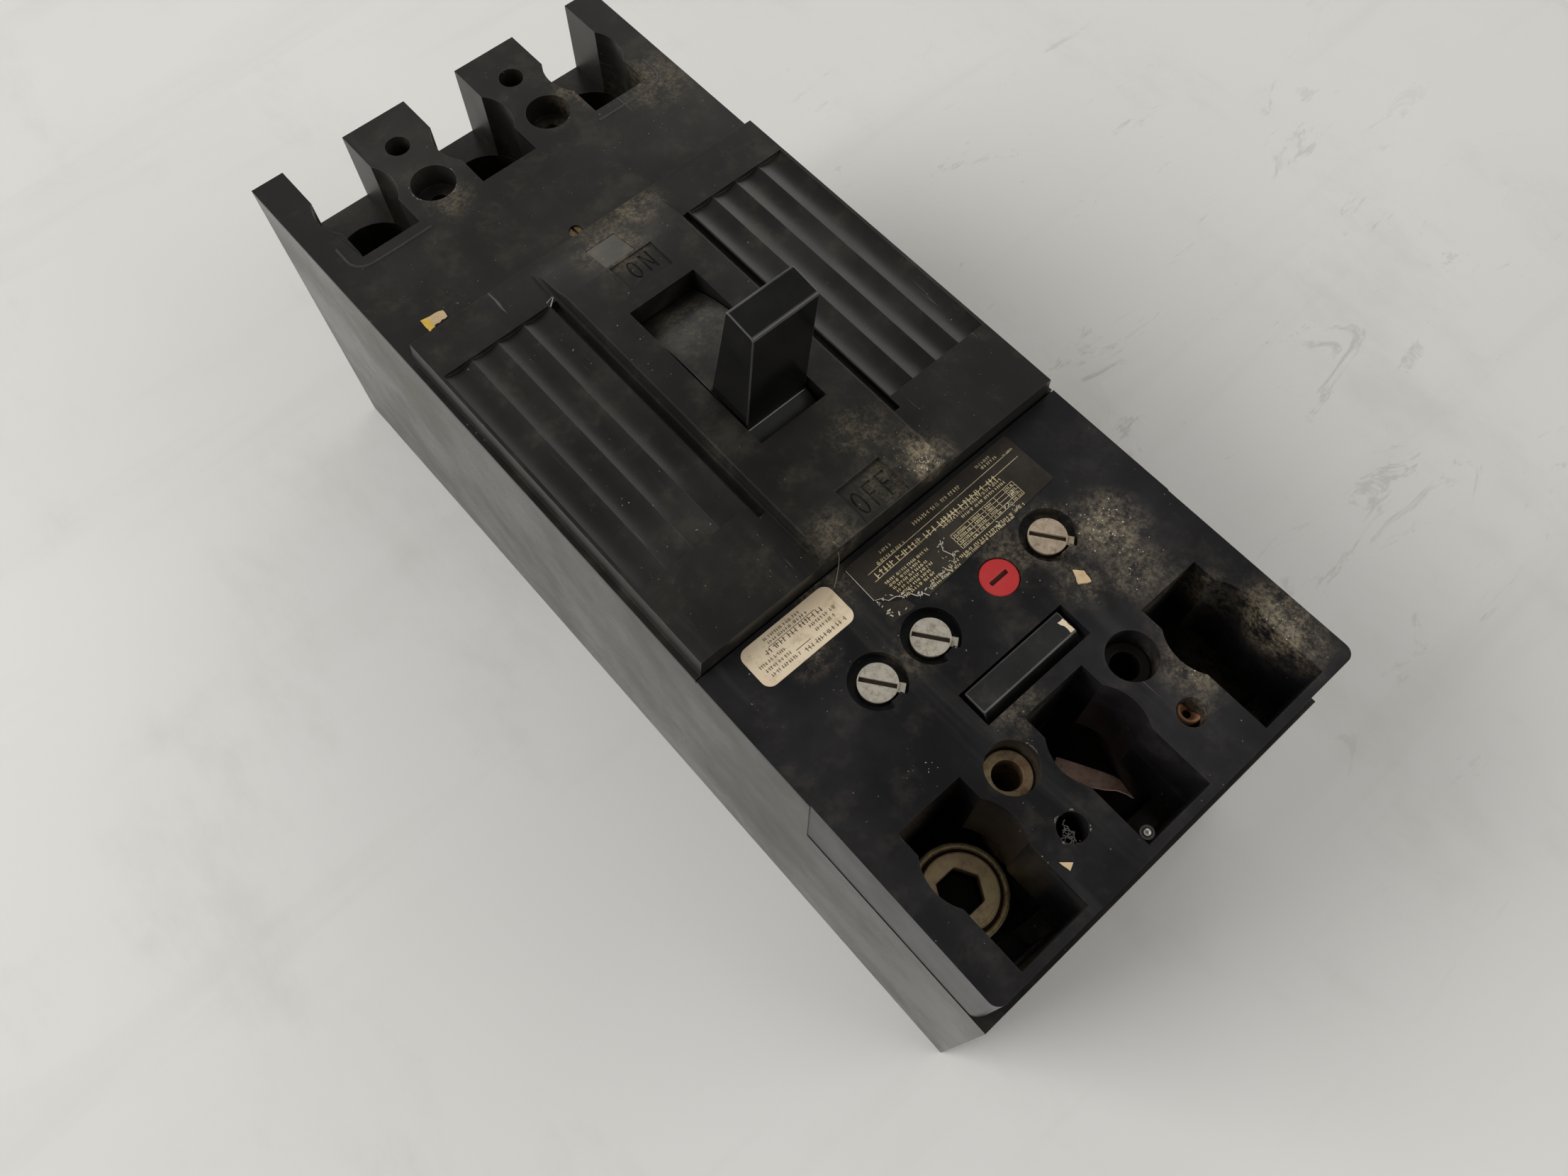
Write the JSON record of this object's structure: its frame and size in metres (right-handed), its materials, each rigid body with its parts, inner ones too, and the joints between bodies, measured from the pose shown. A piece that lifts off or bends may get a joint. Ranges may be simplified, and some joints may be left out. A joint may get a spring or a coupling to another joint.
{
  "type": "molded case breaker",
  "caption": "Long three-pole molded case circuit breaker with a fluted cover, toggle handle, trip button, adjustment dials and open terminal wells.",
  "frame": {"origin": "centre of the flat back face", "axes": "X across the poles, +Y towards the line end, +Z out of the front towards the handle"},
  "size_m": [0.105, 0.2572, 0.14],
  "materials": {
    "base": "worn molded phenolic, satin",
    "main_cover": "worn molded phenolic, satin",
    "trip_unit_cover": "worn molded phenolic, satin",
    "operating_handle": "gloss, rubbed on the tip",
    "handle_yoke": "plated",
    "handle_shield": "satin",
    "mechanism_side_plates": "plated",
    "frame_cross_pins": "plated",
    "cradle": "plated",
    "latch_lever": "plated",
    "upper_links": "plated",
    "lower_links": "plated",
    "toggle_pin": "plated",
    "operating_springs": "plated",
    "crossbar": "molded, satin",
    "contact_arm_left": "copper, dull",
    "contact_arm_centre": "copper, dull",
    "contact_arm_right": "copper, dull",
    "moving_contacts": "silver alloy",
    "fixed_contacts": "silver alloy",
    "line_strap_left": "copper, dull",
    "line_strap_centre": "copper, dull",
    "line_strap_right": "copper, dull",
    "arc_chute_left": "dull steel plates",
    "arc_chute_centre": "dull steel plates",
    "arc_chute_right": "dull steel plates",
    "braid_left": "braided copper",
    "braid_centre": "braided copper",
    "braid_right": "braided copper",
    "heater_strap_left": "copper alloy, dull",
    "heater_strap_centre": "copper alloy, dull",
    "heater_strap_right": "copper alloy, dull",
    "bimetal_left": "dull",
    "bimetal_centre": "dull",
    "bimetal_right": "dull",
    "magnet_yoke_left": "dull steel",
    "magnet_yoke_centre": "dull steel",
    "magnet_yoke_right": "dull steel",
    "armature_left": "dull steel",
    "armature_centre": "dull steel",
    "armature_right": "dull steel",
    "load_strap_left": "copper, dull",
    "load_strap_centre": "copper, dull",
    "load_strap_right": "copper, dull",
    "trip_bar": "molded, satin",
    "load_lug": "plated, worn",
    "lug_screw": "plated, worn",
    "lug_mounting_screw": "plated",
    "trip_button": "satin",
    "trip_button_spring": "plated",
    "dial_left": "plated, dusty",
    "dial_centre": "plated, dusty",
    "dial_right": "plated, dusty",
    "rating_insert": "satin, worn edges",
    "nameplate": "printed foil, scuffed",
    "side_label": "printed foil",
    "calibration_screw": "dull",
    "position_window": "dusty",
    "cover_bushings": "dull",
    "strap_screws": "plated"
  },
  "bodies": {
    "frame": {"base": "base", "main_cover": "main_cover", "trip_unit_cover": "trip_unit_cover", "mechanism_side_plates": "mechanism_side_plates", "frame_cross_pins": "frame_cross_pins", "fixed_contacts": "fixed_contacts", "line_strap_left": "line_strap_left", "line_strap_centre": "line_strap_centre", "line_strap_right": "line_strap_right", "arc_chute_left": "arc_chute_left", "arc_chute_centre": "arc_chute_centre", "arc_chute_right": "arc_chute_right", "braid_left": "braid_left", "braid_centre": "braid_centre", "braid_right": "braid_right", "heater_strap_left": "heater_strap_left", "heater_strap_centre": "heater_strap_centre", "heater_strap_right": "heater_strap_right", "bimetal_left": "bimetal_left", "bimetal_centre": "bimetal_centre", "bimetal_right": "bimetal_right", "magnet_yoke_left": "magnet_yoke_left", "magnet_yoke_centre": "magnet_yoke_centre", "magnet_yoke_right": "magnet_yoke_right", "load_strap_left": "load_strap_left", "load_strap_centre": "load_strap_centre", "load_strap_right": "load_strap_right", "load_lug": "load_lug", "lug_mounting_screw": "lug_mounting_screw", "trip_button_spring": "trip_button_spring", "rating_insert": "rating_insert", "nameplate": "nameplate", "side_label": "side_label", "calibration_screw": "calibration_screw", "position_window": "position_window", "cover_bushings": "cover_bushings", "strap_screws": "strap_screws"},
    "handle": {"operating_handle": "operating_handle", "handle_yoke": "handle_yoke", "handle_shield": "handle_shield", "operating_springs": "operating_springs"},
    "cradle": {"cradle": "cradle"},
    "latch_lever": {"latch_lever": "latch_lever"},
    "upper_links": {"upper_links": "upper_links"},
    "crossbar": {"crossbar": "crossbar", "contact_arm_left": "contact_arm_left", "contact_arm_centre": "contact_arm_centre", "contact_arm_right": "contact_arm_right", "moving_contacts": "moving_contacts"},
    "lower_links": {"lower_links": "lower_links", "toggle_pin": "toggle_pin"},
    "trip_bar": {"trip_bar": "trip_bar"},
    "lug_screw": {"lug_screw": "lug_screw"},
    "trip_button": {"trip_button": "trip_button"},
    "armature_left": {"armature_left": "armature_left"},
    "dial_left": {"dial_left": "dial_left"},
    "armature_centre": {"armature_centre": "armature_centre"},
    "dial_centre": {"dial_centre": "dial_centre"},
    "armature_right": {"armature_right": "armature_right"},
    "dial_right": {"dial_right": "dial_right"}
  },
  "joints": [
    {"name": "handle_hinge", "type": "hinge", "parent": "frame", "child": "handle", "pos_m": [0, 0.01, 0.0625], "axis": [-1, 0, 0], "range_deg": [-6, 33], "deforming": ["operating_springs"]},
    {"name": "crossbar_hinge", "type": "hinge", "parent": "frame", "child": "crossbar", "pos_m": [0, 0.002, 0.024], "axis": [-1, 0, 0], "range_deg": [-4.2, 22.6]},
    {"name": "cradle_hinge", "type": "hinge", "parent": "frame", "child": "cradle", "pos_m": [0, 0.024, 0.058], "axis": [-1, 0, 0], "range_deg": [0, 3]},
    {"name": "latch_hinge", "type": "hinge", "parent": "frame", "child": "latch_lever", "pos_m": [0, -0.034, 0.056], "axis": [1, 0, 0], "range_deg": [0, 6.1]},
    {"name": "upper_link_hinge", "type": "hinge", "parent": "cradle", "child": "upper_links", "pos_m": [0, 0.004, 0.06], "axis": [1, 0, 0], "range_deg": [-5, 27.4]},
    {"name": "lower_link_hinge", "type": "hinge", "parent": "crossbar", "child": "lower_links", "pos_m": [0, 0.008, 0.0344], "axis": [1, 0, 0], "range_deg": [-1.4, 7]},
    {"name": "trip_bar_hinge", "type": "hinge", "parent": "frame", "child": "trip_bar", "pos_m": [0, -0.06, 0.074], "axis": [1, 0, 0], "range_deg": [0, 26]},
    {"name": "armature_left_hinge", "type": "hinge", "parent": "frame", "child": "armature_left", "pos_m": [-0.035, -0.0594, 0.05], "axis": [-1, 0, 0], "range_deg": [0, 4]},
    {"name": "armature_centre_hinge", "type": "hinge", "parent": "frame", "child": "armature_centre", "pos_m": [0, -0.0594, 0.05], "axis": [-1, 0, 0], "range_deg": [0, 4]},
    {"name": "armature_right_hinge", "type": "hinge", "parent": "frame", "child": "armature_right", "pos_m": [0.035, -0.0594, 0.05], "axis": [-1, 0, 0], "range_deg": [0, 4]},
    {"name": "dial_left_turn", "type": "hinge", "parent": "frame", "child": "dial_left", "pos_m": [-0.025, -0.0657, 0.0958], "axis": [0, 0, 1], "range_deg": [0, 298]},
    {"name": "dial_centre_turn", "type": "hinge", "parent": "frame", "child": "dial_centre", "pos_m": [-0.01, -0.0657, 0.0958], "axis": [0, 0, 1], "range_deg": [0, 298]},
    {"name": "dial_right_turn", "type": "hinge", "parent": "frame", "child": "dial_right", "pos_m": [0.025, -0.0657, 0.0958], "axis": [0, 0, 1], "range_deg": [0, 298]},
    {"name": "trip_button_slide", "type": "slide", "parent": "frame", "child": "trip_button", "axis": [0, 0, -1], "range_m": [0, 0.0022], "stiffness_N_per_m": 300, "springref_m": -0.002, "deforming": ["trip_button_spring"]},
    {"name": "lug_screw_travel", "type": "slide", "parent": "frame", "child": "lug_screw", "axis": [0, 0, 1], "range_m": [-0.008, 0]}
  ],
  "couplings": [
    {"joint": "crossbar_hinge", "follows": "handle_hinge", "ratio": 0.6818},
    {"joint": "upper_link_hinge", "follows": "handle_hinge", "ratio": 0.8242},
    {"joint": "lower_link_hinge", "follows": "handle_hinge", "ratio": 0.2061},
    {"joint": "trip_bar_hinge", "follows": "trip_button_slide", "rad_per_m": 205},
    {"joint": "latch_hinge", "follows": "trip_button_slide", "rad_per_m": 48}
  ]
}
